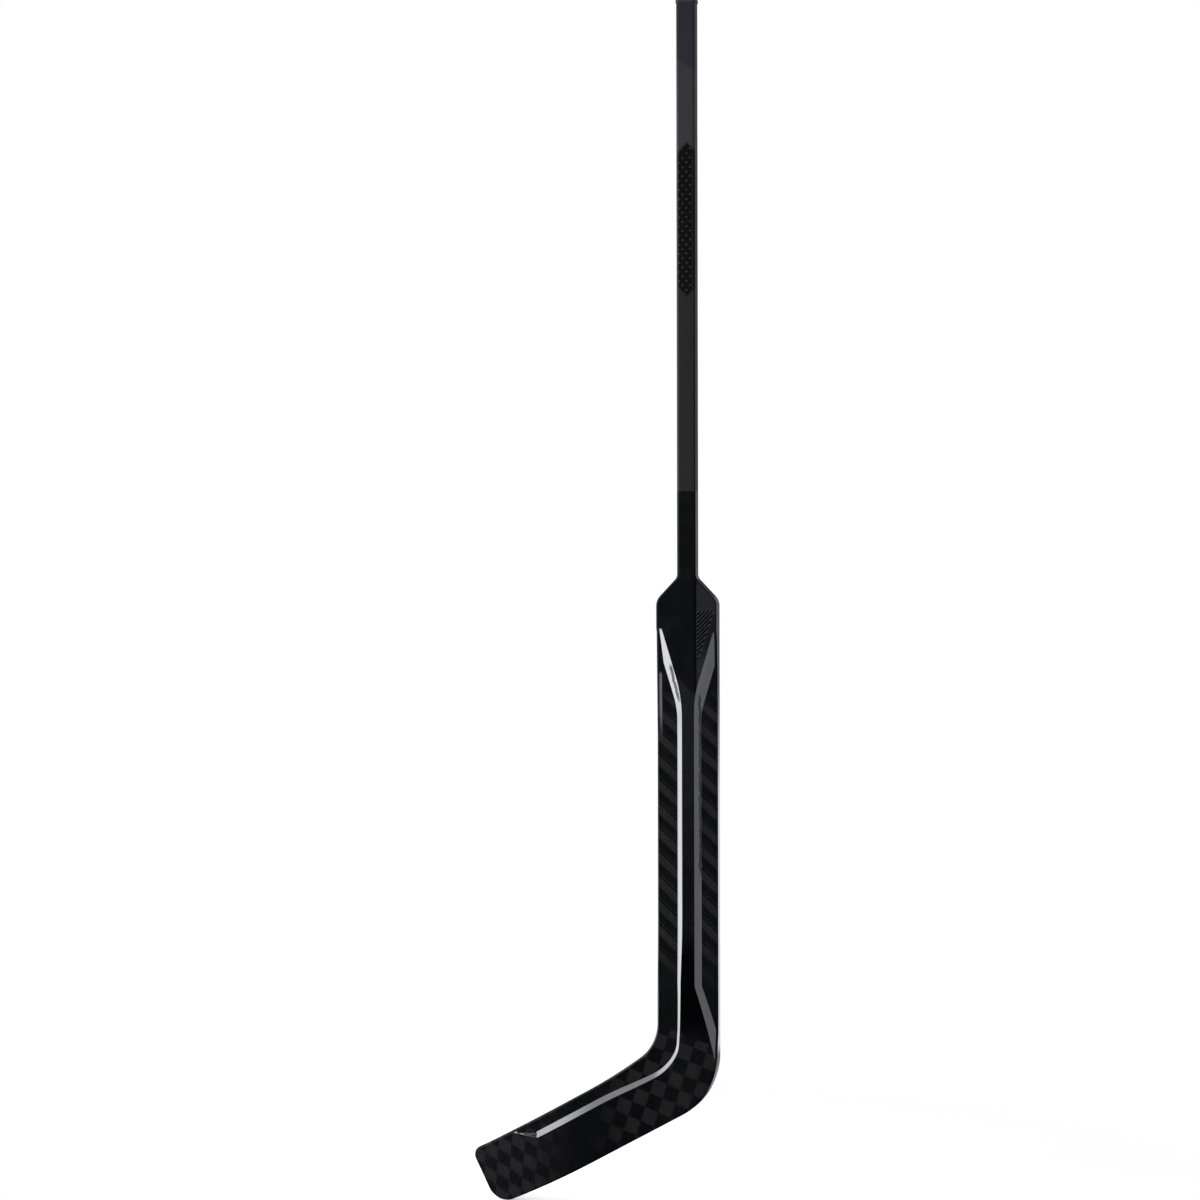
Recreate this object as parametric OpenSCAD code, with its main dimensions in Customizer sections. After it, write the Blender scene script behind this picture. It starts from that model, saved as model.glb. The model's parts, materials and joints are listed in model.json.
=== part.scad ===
// Hockey goalie stick, hollow shaft with a moulded paddle and blade.
// The shaft stands along Z, the sculpted side faces -Y and the blade points to -X.
// The origin is on the shaft's axis at the neck, where the paddle begins to widen.

/* [Shaft] */
// Width of the shaft across its broad face
shaft_w = 27; // [25:0.5:30]
// Thickness of the shaft from face to face
shaft_t = 20.5; // [18.5:0.5:22]
// Rounding of the shaft's four long corners
shaft_r = 4.5; // [3.5:0.5:6]
// Wall of the shaft's tube
shaft_wall = 1.5; // [1.2:0.1:2]
// Length from the neck up to the tube's butt end
shaft_len = 798; // [600:2:900]
// Length of the collar by which the paddle runs up the shaft
collar_len = 115; // [70:1:160]

/* [Paddle] */
// Distance from the neck down to the heel point
paddle_len = 727; // [640:1:760]
// Width of the paddle from edge to edge
paddle_w = 88; // [84:0.5:90]
// Height over which the shoulders widen
flare_h = 32; // [28:1:44]
// Radius where the shaft turns out into a shoulder
neck_r = 12; // [8:1:16]
// Radius at the outer corner of a shoulder
shoulder_r = 20; // [12:1:24]
// Rounding of the long edges
edge_r = 3; // [2.5:0.25:3.5]
// Wall of the moulded skins
skin_t = 1.5; // [1:0.1:2]
// Distance from the shaft's mid plane to the line where the two skins meet
parting = 3; // [1:0.5:4]

/* [Spine and facets] */
// Depth of the flanks below the spine
flank_depth = 6.2; // [4:0.2:7]
// Width of the flank on the blade's side
flank_in = 30; // [26:0.5:32]
// Width of the flank on the heel's side
flank_out = 23.5; // [19:0.5:26]
// Width of the slanted facet on the blade's side
facet_in = 8; // [7:0.5:10]
// Width of that facet where it runs round the bend
facet_bend = 4.25; // [3:0.25:6]
// Width of the slanted facet on the heel's side
facet_out = 8.5; // [7:0.5:10]
// Distance below the neck of the facet's tip on the blade's side
tip_in = 74; // [66:1:90]
// Distance below the neck of the facet's tip on the heel's side
tip_out = 80; // [72:1:98]
// How far the facets run in from the edge for each unit of length
vee_slope = 0.31; // [0.26:0.01:0.36]
// Length over which the flanks sink to their full depth
ramp_len = 157; // [120:1:190]
// Length of the short scoop at each facet's tip
scoop_len = 9; // [6:0.5:14]
// Share of the full depth that the scoop reaches
scoop_share = 0.3; // [0.2:0.05:0.5]

/* [Blade] */
// Length of the blade from the heel point to the toe
blade_len = 385; // [350:1:394]
// Width of the blade from its top edge to its bottom edge
blade_w = 91; // [86:0.5:94]
// Slope of the blade's bottom edge with the shaft upright
blade_slope = 30; // [27:0.5:33]
// Radius of the bend between the paddle and the blade's top edge
bend_r = 64; // [50:1:80]
// Last degrees of that bend, which spread out along the blade's top edge
bend_tail = 7; // [4:0.5:10]
// Length over which they spread
tail_len = 100; // [70:5:130]
// Radius of the heel's outer round
heel_r = 102; // [80:1:115]
// Radius of the rocker along the bottom edge
rocker_r = 1650; // [1200:25:3000]
// Length of the rocker back from the toe
rocker_len = 170; // [120:5:200]
// Distance by which the toe is curved out of the blade's plane
curve_depth = 20; // [0:1:30]
// Length of the curve back from the toe
curve_len = 185; // [140:5:220]
// Thickness of the blade at the toe
toe_t = 12; // [10:0.5:16]
// Radius of the toe's top corner
toe_top_r = 13; // [9:1:18]
// Radius of the toe's bottom corner
toe_low_r = 27; // [20:1:32]
// Distance by which the toe's top corner lies behind the bottom one
toe_rake = 3; // [0:0.5:8]

/* [Pocket along the blade] */
// Width of the pocket below the blade's top edge
pocket_w = 17; // [14:0.5:20]
// Width of the slanted facet under the pocket
pocket_facet = 7.75; // [6:0.25:9]
// Depth of the pocket where it turns up to the edge
pocket_depth = 4.3; // [3:0.1:5]
// Distance from the toe to the pocket's corner
pocket_gap = 114; // [100:1:130]
// How steeply the pocket's end climbs to the edge
hook_slope = 0.67; // [0.5:0.01:0.9]
// Width of the slanted facet along the pocket's end
hook_facet = 3.6; // [3:0.1:5]

/* [Inside] */
// Gap left for glue between pieces
bond = 0.15; // [0.1:0.05:0.3]
// Length by which the spar reaches up into the shaft
tenon_len = 62; // [40:1:90]
// Wall of the spar
spar_wall = 1.6; // [1.2:0.1:2]
// Cut across the spar's long corners
spar_cut = 2.2; // [2:0.1:3]
// Distance by which the spar stands back from the spine's edges
spar_back = 0.8; // [0.6:0.1:1.6]
// Thickness of the rib inside the blade
rib_t = 2; // [1.5:0.1:3]
// Distance from the blade's top edge to the rib
rib_pos = 47; // [42:0.5:52]
// Length of the foam plug that stops the shaft above the spar
stop_len = 45; // [30:1:70]
// Length of the solid block in the heel past the bend
heel_run = 22; // [10:1:40]

/* [Butt cap] */
// Height of the cap above the tube
cap_h = 5; // [3:0.25:8]
// How far the cap stands out round the tube
cap_lip = 1; // [0.5:0.1:2]
// Bevel round the cap's top
cap_bevel = 1.2; // [0.5:0.1:1.8]
// Length of the plug inside the tube
plug_len = 34; // [20:1:50]
// Wall of the plug
plug_wall = 2.4; // [1.8:0.1:3]

/* [Hidden] */
$fn = 48;

carbon = "#101114";
matte = "#2a2a2c";
foam = "#d9cfa8";
glass_fibre = "#7c8a55";
plastic = "#1b1c20";

// Heel point, and the blade's own directions along its length and across its width
heel = [paddle_w / 2, -paddle_len];
along = [-cos(blade_slope), -sin(blade_slope)];
across = [-sin(blade_slope), cos(blade_slope)];

// Shoulder flare
flare_turn = atan((paddle_w - shaft_w) / 2 / flare_h);
neck_run = neck_r * tan(flare_turn / 2);
shoulder_run = shoulder_r * tan(flare_turn / 2);
flare_end = neck_run + flare_h;

// Bend and heel, where both edges turn by the same angle about their own centres
turn = 90 - blade_slope;
arc_x = bend_r * (1 - cos(turn - bend_tail));
arc_z = bend_r * sin(turn - bend_tail);
arc_b = blade_w + tail_len * tan(bend_tail) / 2;
out_run = heel_r * tan(turn / 2);
seam_in = paddle_len - arc_z - (arc_b - sin(blade_slope) * (paddle_w + arc_x)) / cos(blade_slope);
seam_out = paddle_len - out_run;
seam = (seam_in + seam_out) / 2;
seam_stretch = norm([paddle_w, seam_out - seam_in]) / paddle_w;
level_len = 78;
level_end = seam - level_len;
bend_len = (bend_r + heel_r) / 2 * turn * PI / 180;
bend_end = seam + bend_len;

// Path length that stands for each place along the blade
a_top = cos(blade_slope) * (paddle_w + arc_x) - sin(blade_slope) * (paddle_len - seam_in - arc_z);
a_low = out_run;
a_mid = (a_top + a_low) / 2;
skew_len = 80;
toe_start = bend_end + blade_len - toe_low_r - a_mid;
toe_end = toe_start + toe_low_r;
pocket_corner = bend_end + blade_len - pocket_gap - a_mid;
pocket_end = pocket_corner + (pocket_w + pocket_facet - edge_r) / hook_slope;
core_end = toe_start + toe_low_r / 2;
toe_round = edge_r * 2 / 3;

// Spar, sized to the narrower of the two bores that it passes through
spar_in = max(shaft_wall, skin_t) + bond;
spar_w = shaft_w - 2 * spar_in;
core_top = neck_run + flare_h / 2;
stop_z = collar_len + tenon_len + bond;
heel_end = bend_end + heel_run;

function mix(a, b, t) = a + (b - a) * t;
function ease(t) = let (u = max(0, min(1, t))) u * u * (3 - 2 * u);

// Follows x and rounds off into the level value over a stretch of soft on both sides
function level_off(x, level, soft) =
    x < level - soft ? x :
    x > level + soft ? level :
    x - pow(x - level + soft, 2) / (4 * soft);

// Half the width at a distance p below the neck
function half_width(p) =
    p < 0 ? shaft_w / 2 :
    p < neck_run * (1 + cos(flare_turn)) ?
        shaft_w / 2 + neck_r - sqrt(pow(neck_r, 2) - pow(p, 2)) :
    p < flare_end - shoulder_run * cos(flare_turn) ?
        shaft_w / 2 + (p - neck_run) * tan(flare_turn) :
    p < flare_end + shoulder_run ?
        paddle_w / 2 - shoulder_r + sqrt(pow(shoulder_r, 2) - pow(flare_end + shoulder_run - p, 2)) :
    paddle_w / 2;

// Blade edges: a runs from the heel point towards the toe, b from the bottom edge to the top
function rocker(a) = pow(max(0, a - blade_len + rocker_len), 2) / (2 * rocker_r);
function tail(a) = pow(max(0, a_top + tail_len - a), 2) * tan(bend_tail) / (2 * tail_len);
function on_blade(a, b) = heel + a * along + b * across;
function a_at(p) = a_mid + p - bend_end;
function skew(p) = (a_top - a_low) / 2 * (1 - ease((p - bend_end) / skew_len));
function toe_angle(p) = 90 * (p - toe_start) / toe_low_r;
top_rise = 0.35;
toe_a = blade_len - toe_rake;

// Point on the edge at the blade's side, at path length p
function edge_in(p) =
    p < level_end ? [-half_width(p), -p] :
    p < seam ? [-paddle_w / 2, -mix(level_end, seam_in, (p - level_end) / level_len)] :
    p < bend_end ?
        let (f = (turn - bend_tail) * (p - seam) / bend_len)
        [-paddle_w / 2 - bend_r + bend_r * cos(f), -seam_in - bend_r * sin(f)] :
    p < toe_start ?
        let (a = a_at(p) + skew(p))
        on_blade(a, blade_w + tail(a) + top_rise * rocker(a)) :
    let (f = toe_angle(p))
    on_blade(
        toe_a - toe_top_r * (1 - sin(f)),
        blade_w + top_rise * rocker(toe_a) - toe_top_r * (1 - cos(f))
    );

// Point on the heel's side and along the blade's bottom edge
function edge_out(p) =
    p < level_end ? [half_width(p), -p] :
    p < seam ? [paddle_w / 2, -mix(level_end, seam_out, (p - level_end) / level_len)] :
    p < bend_end ?
        let (f = turn * (p - seam) / bend_len)
        [paddle_w / 2 - heel_r + heel_r * cos(f), -seam_out - heel_r * sin(f)] :
    p < toe_start ?
        let (a = a_at(p) - skew(p))
        on_blade(a, rocker(a)) :
    let (f = toe_angle(p), a = blade_len - toe_low_r * (1 - sin(f)))
    on_blade(a, rocker(a) + toe_low_r * (1 - cos(f)));

function span_at(p) = norm(edge_out(p) - edge_in(p));

// Curve of the blade out of its plane, for any point of the side view
function curve_at(xz) =
    let (a = (xz - heel) * along)
    curve_depth * pow(max(0, a - blade_len + curve_len) / curve_len, 2);

// Point at distance d from the inner edge and depth y, at path length p
function place(p, col) =
    let (
        from = edge_in(p),
        to = edge_out(p),
        xz = from + (to - from) * col[0] / norm(to - from)
    )
    [xz[0], col[1] + curve_at(xz), xz[1]];

// Thickness, faces and roundings
function thick(p) = mix(shaft_t, toe_t, max(0, p - seam) / (toe_end - seam));
function toe_inset(p) =
    let (q = p < toe_start ? toe_round : (toe_low_r + toe_top_r) / 2 * (1 - sin(toe_angle(p))))
    q >= toe_round ? 0 : toe_round - sqrt(pow(toe_round, 2) - pow(toe_round - q, 2));
function spine_y(p) = -thick(p) / 2 + toe_inset(p);
function back_y(p) = thick(p) / 2 - toe_inset(p);
function part_y(p) = parting * thick(p) / shaft_t;
function round_at(p) = mix(shaft_r, edge_r, ease(p / flare_end)) - toe_inset(p);

// Depth of each flank below the spine, at the facet's foot
function ramp(p, tip) = max(0, min(1, (p - tip) / ramp_len));
function scoop(p, tip) = scoop_share * ease((p - tip) / scoop_len);
function sink_in(p) = mix(scoop(p, tip_in), 1, ramp(p, tip_in));
function sink_out(p) = mix(scoop(p, tip_out), 1, 1 - pow(1 - ramp(p, tip_out), 2));
function depth_in(p) =
    p < seam ? flank_depth * sink_in(p) * facet_width(p) / facet_in :
    p < pocket_corner ?
        facet_width(p) * mix(
            flank_depth / facet_in,
            pocket_depth / pocket_facet,
            (p - seam) / (pocket_corner - seam)
        ) :
    pocket_depth * max(0, min(1, 1.3 * (pocket_end - p) / (pocket_end - pocket_corner)));
function depth_out(p) =
    flank_depth * min(sink_out(p), max(0, (brow_out(p) - edge_r) / exit_w));

// Lines of the inner facet: its foot on the flank and its brow on the spine
foot_in_top = tip_in + 16;
foot_in_tip = 4.6;
foot_in_slope = 0.12;
brow_in_top = tip_in - 25;
foot_turn = [seam + 16, bend_end + 100];
bend_swell = 2.4;
thin_run = [seam - 168, seam - 28];
thick_run = [seam, bend_end + 85];
function stretch(p) = mix(1, seam_stretch, max(0, min(1, (p - level_end) / level_len)));
function vee(p, top, level, soft) = level_off(vee_slope * (p - top), level, soft);
function hook(p) = pocket_w + pocket_facet - hook_slope * (p - pocket_corner);
function swell(p) = bend_swell * ease((p - seam) / 30);
function foot_in(p) =
    p < foot_turn[0] ?
        swell(p) + max(
            foot_in_tip + foot_in_slope * min(p - tip_in, ramp_len / 2),
            stretch(p) * vee(p, foot_in_top, flank_in, flank_in / 6)
        ) :
    p < pocket_corner ?
        mix(
            flank_in * seam_stretch + swell(p),
            pocket_w,
            ease((p - foot_turn[0]) / (foot_turn[1] - foot_turn[0]))
        ) :
    hook(p) - hook_facet;
function facet_width(p) =
    p < seam ? mix(facet_in, facet_bend, ease((p - thin_run[0]) / (thin_run[1] - thin_run[0]))) :
    mix(facet_bend, pocket_facet, ease((p - thick_run[0]) / (thick_run[1] - thick_run[0])));
function brow_in(p) =
    let (level = flank_in + facet_in)
    p < thin_run[0] ? vee(p, brow_in_top, level, level / 4) :
    p < pocket_corner ? foot_in(p) + facet_width(p) :
    hook(p);

// Lines of the outer facet, which leaves over the edge above the heel
foot_out_top = tip_out + 38;
brow_out_top = tip_out - 12;
exit_top = seam - 74;
exit_w = 11.2;
exit_slope = [0.39, 0.325];
function leave(p, level, slope) = level - slope * max(0, p - exit_top) * seam_stretch;
function foot_out(p) =
    min(vee(p, foot_out_top, flank_out, flank_out / 6), leave(p, flank_out, exit_slope[0]));
function brow_out(p) =
    let (level = flank_out + facet_out)
    min(vee(p, brow_out_top, level, level / 5), leave(p, level, exit_slope[1]));

// Section of the sculpted side, set in by t: [distance from the inner edge, depth]
function front(p, t) =
    let (
        w = span_at(p),
        r = max(round_at(p), t + 0.4),
        low_in = spine_y(p) + depth_in(p),
        low_out = spine_y(p) + depth_out(p),
        foot_a = max(foot_in(p), r + 0.2),
        brow_a = max(brow_in(p), foot_a + 0.4),
        foot_b = max(foot_out(p), r + 0.2),
        brow_b = max(brow_out(p), foot_b + 0.4)
    )
    [
        [t, part_y(p)],
        [t, low_in + r],
        for (g = [30, 60]) [r - (r - t) * cos(g), low_in + r - (r - t) * sin(g)],
        [r, low_in + t],
        [foot_a, low_in + t],
        [brow_a, spine_y(p) + t],
        [w - brow_b, spine_y(p) + t],
        [w - foot_b, low_out + t],
        [w - r, low_out + t],
        for (g = [60, 30]) [w - r + (r - t) * cos(g), low_out + r - (r - t) * sin(g)],
        [w - t, low_out + r],
        [w - t, part_y(p)]
    ];

// Section of the flat side, with its points at the same distances as the sculpted side's
function back(p, t) =
    let (y = back_y(p), r = max(round_at(p), t + 0.4), cols = front(p, t))
    [
        for (i = [0 : last_col])
            i == 0 || i == last_col ? cols[i] :
            i == 1 || i == last_col - 1 ? [cols[i][0], y - r] :
            i == 2 || i == last_col - 2 ? [cols[i][0], y - r + (r - t) * sin(30)] :
            i == 3 || i == last_col - 3 ? [cols[i][0], y - r + (r - t) * sin(60)] :
            [cols[i][0], y - t]
    ];
last_col = 13;
brow_col = 6;
rim_cols = [0, 1, 2, 3, 4, 9, 10, 11, 12, 13];

// Inner face of a skin, which is solid as far as the parting line at the very toe
function inner_face(p, cols) =
    p <= core_end + bond ? cols :
    [
        for (i = [0 : len(cols) - 1])
            [cols[i][0] + (i == 1 ? 0.02 : i == len(cols) - 2 ? -0.02 : 0), part_y(p)]
    ];

// Path lengths of the sections, closest where the form turns
stations = [
    each [-collar_len, -2],
    for (i = [0 : 4]) neck_run * (1 + cos(flare_turn)) * i / 4,
    for (i = [0 : 5]) mix(flare_end - shoulder_run * cos(flare_turn), flare_end + shoulder_run, i / 5),
    each [tip_in, tip_in + scoop_len / 2, tip_out, tip_out + scoop_len / 2],
    for (i = [0 : 12]) mix(tip_out + scoop_len, tip_out + ramp_len, i / 12),
    for (i = [0 : 12]) mix(level_end, seam, i / 12),
    for (i = [1 : 14]) mix(seam, bend_end, i / 14),
    for (i = [1 : 8]) mix(bend_end, pocket_corner - 2, i / 8),
    for (i = [0 : 5]) mix(pocket_corner, pocket_end, i / 5),
    for (i = [1 : 4]) mix(pocket_end, toe_start, i / 4),
    for (i = [2 : 5 : 42]) toe_start + toe_low_r * i / 45,
    toe_start + toe_low_r * 0.97,
    toe_end
];
function between(from, to) = [from, for (p = stations) if (p > from + 0.7 && p < to - 0.7) p, to];

function quad(a, b, c, d) = [[a, b, c], [a, c, d]];

// Closed solid between two grids of points with the same rows and columns
module slab(near, far) {
    rows = len(near);
    cols = len(near[0]);
    size = rows * cols;
    points = [for (grid = [near, far]) for (row = grid) each row];
    near_id = [for (i = [0 : rows - 1]) [for (j = [0 : cols - 1]) i * cols + j]];
    far_id = [for (i = [0 : rows - 1]) [for (j = [0 : cols - 1]) size + i * cols + j]];
    last = cols - 1;
    end = rows - 1;
    faces = [
        for (i = [0 : rows - 2])
            for (j = [0 : cols - 2]) each concat(
                quad(near_id[i][j], near_id[i][j + 1], near_id[i + 1][j + 1], near_id[i + 1][j]),
                quad(far_id[i][j + 1], far_id[i][j], far_id[i + 1][j], far_id[i + 1][j + 1])
            ),
        for (i = [0 : rows - 2]) each concat(
            quad(far_id[i][0], near_id[i][0], near_id[i + 1][0], far_id[i + 1][0]),
            quad(near_id[i][last], far_id[i][last], far_id[i + 1][last], near_id[i + 1][last])
        ),
        for (j = [0 : cols - 2]) each concat(
            quad(far_id[0][j], far_id[0][j + 1], near_id[0][j + 1], near_id[0][j]),
            quad(near_id[end][j], near_id[end][j + 1], far_id[end][j + 1], far_id[end][j])
        )
    ];
    polyhedron(points, faces);
}

// Hollow bar between an outer and an inner row of closed sections
module pipe(outer, inner) {
    rows = len(outer);
    sides = len(outer[0]);
    size = rows * sides;
    points = [for (grid = [outer, inner]) for (row = grid) each row];
    end = (rows - 1) * sides;
    faces = [
        for (j = [0 : sides - 1])
            let (k = (j + 1) % sides)
            each concat(
                [
                    for (i = [0 : sides : end - sides]) each concat(
                        quad(i + j, i + k, i + sides + k, i + sides + j),
                        quad(size + i + k, size + i + j, size + i + sides + j, size + i + sides + k)
                    )
                ],
                quad(j, size + j, size + k, k),
                quad(end + k, size + end + k, size + end + j, end + j)
            )
    ];
    polyhedron(points, faces);
}

// Walls of the spar on the section line: as wide as the tenon until the facets draw them in
function spar_wall_at(p, brow) =
    max(brow + spar_back, span_at(p) / 2 - spar_w / 2 * stretch(p));
function spar_left(p) = spar_wall_at(p, brow_in(p));
function spar_right(p) = span_at(p) - spar_wall_at(p, brow_out(p));

// Section of the spar, set in by t, as a closed row of eight points
function spar_section(p, t) =
    let (
        a = spar_left(p) + t,
        b = spar_right(p) - t,
        front_y = -shaft_t / 2 + spar_in + t,
        rear_y = shaft_t / 2 - spar_in - t,
        c = spar_cut - t * 0.6
    )
    [
        [a + c, front_y], [b - c, front_y], [b, front_y + c], [b, rear_y - c],
        [b - c, rear_y], [a + c, rear_y], [a, rear_y - c], [a, front_y + c]
    ];

module rounded_bar(w, t, r, h) {
    linear_extrude(height = h) {
        square([w - 2 * r, t], center = true);
        square([w, t - 2 * r], center = true);
        for (x = [-1, 1], y = [-1, 1])
            translate([x * (w / 2 - r), y * (t / 2 - r)])
                circle(r = r);
    }
}

// Rounded bar that fits the shaft's bore with a gap all round
module bore_bar(gap, h) {
    inset = shaft_wall + gap;
    rounded_bar(shaft_w - 2 * inset, shaft_t - 2 * inset, shaft_r - inset, h);
}

module shaft_tube() {
    color(matte)
        translate([0, 0, collar_len])
            difference() {
                rounded_bar(shaft_w, shaft_t, shaft_r, shaft_len - collar_len);
                translate([0, 0, -1])
                    bore_bar(0, shaft_len - collar_len + 2);
            }
}

module butt_cap() {
    w = shaft_w + 2 * cap_lip;
    t = shaft_t + 2 * cap_lip;
    r = shaft_r + cap_lip;
    color(plastic)
        translate([0, 0, shaft_len]) {
            hull() {
                rounded_bar(w, t, r, cap_h - cap_bevel);
                rounded_bar(w - 2 * cap_bevel, t - 2 * cap_bevel, r - cap_bevel, cap_h);
            }
            difference() {
                translate([0, 0, -plug_len])
                    bore_bar(bond, plug_len);
                translate([0, 0, -plug_len - 1])
                    bore_bar(bond + plug_wall, plug_len + 1 - plug_wall);
            }
        }
}

module shaft_stop() {
    color(foam)
        translate([0, 0, stop_z])
            bore_bar(bond, stop_len);
}

module spine_spar() {
    path = [-collar_len - tenon_len, each between(tip_in, seam - bond)];
    color(carbon)
        pipe(
            [for (p = path) [for (c = spar_section(p, 0)) place(p, c)]],
            [for (p = path) [for (c = spar_section(p, spar_wall)) place(p, c)]]
        );
}

module spine_foam() {
    path = between(core_top, seam - bond);
    t = spar_wall + bond;
    color(foam)
        slab(
            [for (p = path) let (s = spar_section(p, t)) [for (i = [7, 0, 1, 2]) place(p, s[i])]],
            [for (p = path) let (s = spar_section(p, t)) [for (i = [6, 5, 4, 3]) place(p, s[i])]]
        );
}

// Foam block that fills the skins between two columns of the section.
// Where walls are given, a flat wall stands before the first or after the last column.
module core(path, columns, wall_before = undef, wall_after = undef) {
    t = skin_t + bond;
    function filled(p, section, y) = [
        if (!is_undef(wall_before)) place(p, [wall_before(p), y]),
        for (i = [columns[0] : columns[1]]) place(p, section[i]),
        if (!is_undef(wall_after)) place(p, [wall_after(p), y])
    ];
    color(foam)
        slab(
            [for (p = path) filled(p, front(p, t), spine_y(p) + t)],
            [for (p = path) filled(p, back(p, t), back_y(p) - t)]
        );
}

module paddle_core_inner() {
    core(
        between(core_top, seam - bond),
        [1, brow_col],
        wall_after = function (p) spar_left(p) - bond
    );
}

module paddle_core_outer() {
    core(
        between(core_top, seam - bond),
        [brow_col + 1, last_col - 1],
        wall_before = function (p) spar_right(p) + bond
    );
}

module heel_core() {
    core(between(seam + bond, heel_end - bond), [1, last_col - 1]);
}

module blade_core_upper() {
    core(
        between(heel_end + bond, core_end),
        [1, brow_col],
        wall_after = function (p) rib_pos - bond
    );
}

module blade_core_lower() {
    core(
        between(heel_end + bond, core_end),
        [last_col - 4, last_col - 1],
        wall_before = function (p) rib_pos + rib_t + bond
    );
}

module blade_rib() {
    path = between(heel_end + bond, core_end);
    t = skin_t + bond;
    color(glass_fibre)
        slab(
            [for (p = path) [for (d = [rib_pos, rib_pos + rib_t]) place(p, [d, spine_y(p) + t])]],
            [for (p = path) [for (d = [rib_pos, rib_pos + rib_t]) place(p, [d, back_y(p) - t])]]
        );
}

module sculpted_skin(path) {
    color(carbon)
        slab(
            [for (p = path) [for (c = front(p, 0)) place(p, c)]],
            [for (p = path) [for (c = inner_face(p, front(p, skin_t))) place(p, c)]]
        );
}

module flat_skin(path) {
    function rim(p, t) = let (s = back(p, t)) [for (i = rim_cols) s[i]];
    color(carbon)
        slab(
            [for (p = path) [for (c = inner_face(p, rim(p, skin_t))) place(p, c)]],
            [for (p = path) [for (c = rim(p, 0)) place(p, c)]]
        );
}

paddle_path = between(-collar_len, seam);
blade_path = [each between(seam, core_end + bond), for (p = stations) if (p > core_end + bond) p];

module paddle_spine_skin() {
    sculpted_skin(paddle_path);
}

module paddle_flat_skin() {
    flat_skin(paddle_path);
}

module blade_pocket_skin() {
    sculpted_skin(blade_path);
}

module blade_flat_skin() {
    flat_skin(blade_path);
}

shaft_tube();
butt_cap();
shaft_stop();
spine_spar();
spine_foam();
paddle_core_inner();
paddle_core_outer();
paddle_spine_skin();
paddle_flat_skin();
heel_core();
blade_core_upper();
blade_core_lower();
blade_rib();
blade_pocket_skin();
blade_flat_skin();
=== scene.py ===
import json
from math import acos, atan, ceil, cos, hypot, pi, radians, sin, sqrt, tan

import bpy
from mathutils import Matrix, Vector


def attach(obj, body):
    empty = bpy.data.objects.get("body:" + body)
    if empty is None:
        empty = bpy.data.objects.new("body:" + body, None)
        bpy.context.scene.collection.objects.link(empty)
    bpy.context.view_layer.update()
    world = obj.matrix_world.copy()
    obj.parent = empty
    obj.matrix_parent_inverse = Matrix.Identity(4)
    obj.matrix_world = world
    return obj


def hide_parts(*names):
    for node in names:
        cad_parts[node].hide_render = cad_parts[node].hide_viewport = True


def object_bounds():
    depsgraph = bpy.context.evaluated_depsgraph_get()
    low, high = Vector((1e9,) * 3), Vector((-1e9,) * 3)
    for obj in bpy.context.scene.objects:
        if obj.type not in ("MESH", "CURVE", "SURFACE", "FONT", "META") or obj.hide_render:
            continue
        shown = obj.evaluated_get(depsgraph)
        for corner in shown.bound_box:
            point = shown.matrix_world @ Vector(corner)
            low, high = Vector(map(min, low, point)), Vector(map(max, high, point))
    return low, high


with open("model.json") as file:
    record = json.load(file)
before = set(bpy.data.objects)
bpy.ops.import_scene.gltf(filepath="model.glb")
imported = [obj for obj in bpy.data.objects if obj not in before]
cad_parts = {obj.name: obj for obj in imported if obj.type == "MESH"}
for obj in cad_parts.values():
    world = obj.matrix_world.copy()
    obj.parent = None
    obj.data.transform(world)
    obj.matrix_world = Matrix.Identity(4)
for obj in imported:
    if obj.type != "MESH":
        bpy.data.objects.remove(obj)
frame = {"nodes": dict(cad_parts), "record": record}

cadBox = [list(corner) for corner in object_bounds()]
mm = 0.001
print("frame loaded,", len(frame["nodes"]), "nodes")


# The form of the stick in millimetres and radians. Sections follow a path from the collar down to the toe.
# The edge of a scoop (Vee) starts so far below the scoop's tip, and the second number divides its level
# into the length over which it rounds off.
form = {
    "shaftWidth": 27.0, "shaftDepth": 20.5, "shaftRound": 4.5, "shaftWall": 1.5, "shaftLength": 798.0,
    "collar": 115.0, "paddleLength": 727.0, "paddleWidth": 88.0,
    "flareHeight": 32.0, "neckRadius": 12.0, "shoulderRadius": 20.0,
    "edgeRound": 3.0, "skin": 1.5, "parting": 3.0,
    # flanks, facets and the scoops in which the flanks begin
    "flankDepth": 6.2, "flankIn": 30.0, "flankOut": 23.5,
    "facetIn": 8.0, "facetBend": 4.25, "facetOut": 8.5,
    "tipIn": 74.0, "tipOut": 80.0, "veeSlope": 0.31,
    "rampLength": 157.0, "scoopLength": 9.0, "scoopShare": 0.3,
    "footTip": 4.6, "footSlope": 0.12, "footFillet": 1.6, "browFillet": 0.9,
    "footInVee": (16.0, 6), "browInVee": (-25.0, 4), "footOutVee": (38.0, 6), "browOutVee": (-12.0, 5),
    "footHold": 16.0, "footTail": 84.0, "thinLead": (168.0, 28.0), "thickTail": 85.0,
    "exitLead": 74.0, "exitWidth": 11.2, "exitSlopes": (0.39, 0.325),
    # blade, bend and heel
    "bladeLength": 385.0, "bladeWidth": 91.0, "bladeSlope": radians(30.0),
    "bendRadius": 64.0, "bendTail": radians(7.0), "tailLength": 100.0, "heelRadius": 102.0,
    "bendSwell": 2.4, "swellLength": 30.0, "levelLength": 78.0, "skewLength": 80.0,
    "rockerRadius": 1650.0, "rockerLength": 170.0, "topRise": 0.35,
    "curveDepth": 20.0, "curveLength": 185.0,
    "toeDepth": 12.0, "toeTopRadius": 13.0, "toeLowRadius": 27.0, "toeRake": 3.0, "toeRound": 2.0,
    "pocketWidth": 17.0, "pocketFacet": 7.75, "pocketDepth": 4.3, "pocketGap": 114.0, "pocketRunOut": 1.3,
    "hookSlope": 0.67, "hookFacet": 3.6,
}

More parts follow.
